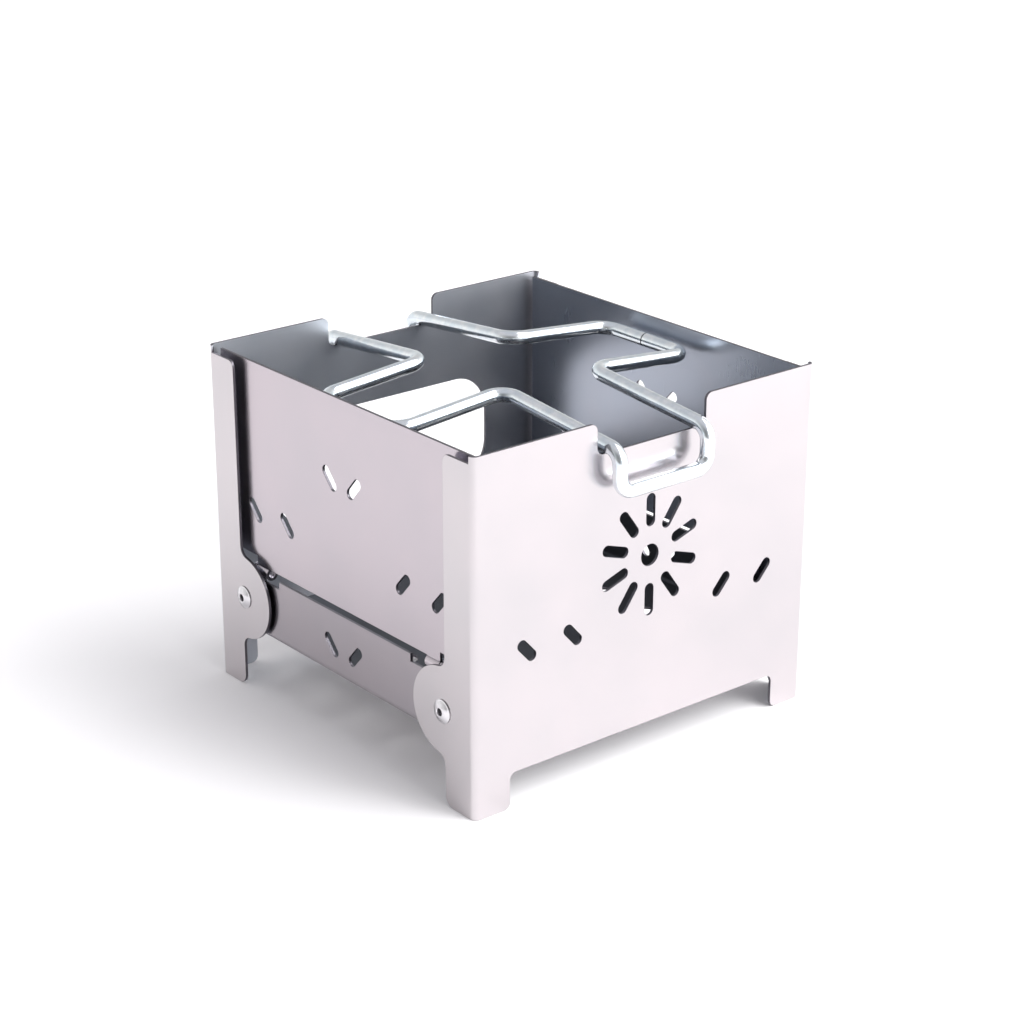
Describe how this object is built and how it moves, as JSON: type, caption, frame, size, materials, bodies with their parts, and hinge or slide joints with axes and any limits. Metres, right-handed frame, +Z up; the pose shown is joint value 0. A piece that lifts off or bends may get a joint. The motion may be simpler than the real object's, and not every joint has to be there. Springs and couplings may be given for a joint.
{
  "type": "twig stove",
  "caption": "Square folding twig stove of slotted stainless sheet: riveted end walls with feet, a base tray, hinged side panels and a wire pot support.",
  "frame": {"origin": "on the ground under the middle of the stove", "axes": "+Z up, the front wall faces -Y, +X to the right of someone facing the front wall"},
  "size_m": [0.1184, 0.1292, 0.098],
  "materials": {
    "wall_steel": "satin stainless sheet",
    "panel_steel": "satin stainless sheet",
    "tray_steel": "satin stainless sheet",
    "rivet_steel": "bright turned stainless",
    "mandrel_steel": "broken steel end",
    "wire_steel": "bright plated wire"
  },
  "bodies": {
    "tray": {"base_tray": "tray_steel", "front_left_rivet": "rivet_steel", "front_right_rivet": "rivet_steel", "rear_left_rivet": "rivet_steel", "rear_right_rivet": "rivet_steel", "front_left_mandrel": "mandrel_steel", "front_right_mandrel": "mandrel_steel", "rear_left_mandrel": "mandrel_steel", "rear_right_mandrel": "mandrel_steel", "front_left_washer": "rivet_steel", "front_right_washer": "rivet_steel", "rear_left_washer": "rivet_steel", "rear_right_washer": "rivet_steel", "front_left_hinge_pin": "rivet_steel", "front_right_hinge_pin": "rivet_steel", "rear_left_hinge_pin": "rivet_steel", "rear_right_hinge_pin": "rivet_steel"},
    "front_wall": {"front_wall": "wall_steel"},
    "rear_wall": {"rear_wall": "wall_steel"},
    "left_side": {"left_side_panel": "panel_steel"},
    "right_side": {"right_side_panel": "panel_steel"},
    "pot_support": {"pot_support": "wire_steel"}
  },
  "joints": [
    {"name": "pot_support_lift", "type": "slide", "parent": "tray", "child": "pot_support", "axis": [0, 0, 1], "range_m": [0, 0.38]},
    {"name": "left_side_fold", "type": "hinge", "parent": "tray", "child": "left_side", "pos_m": [-0.05454, 0, 0.0363], "axis": [0, 1, 0], "range_deg": [0, 106]},
    {"name": "right_side_fold", "type": "hinge", "parent": "tray", "child": "right_side", "pos_m": [0.05454, 0, 0.0363], "axis": [0, -1, 0], "range_deg": [0, 95]},
    {"name": "front_wall_swing", "type": "hinge", "parent": "tray", "child": "front_wall", "pos_m": [0, -0.045, 0.02626], "axis": [1, 0, 0], "range_deg": [0, 90]},
    {"name": "rear_wall_swing", "type": "hinge", "parent": "tray", "child": "rear_wall", "pos_m": [0, 0.045, 0.02736], "axis": [-1, 0, 0], "range_deg": [0, 90]}
  ],
  "couplings": [
    {"joint": "left_side_fold", "follows": "pot_support_lift", "rad_per_m": 4.8685},
    {"joint": "right_side_fold", "follows": "pot_support_lift", "rad_per_m": 4.3633},
    {"joint": "front_wall_swing", "follows": "pot_support_lift", "rad_per_m": 4.1336},
    {"joint": "rear_wall_swing", "follows": "pot_support_lift", "rad_per_m": 4.1336}
  ]
}
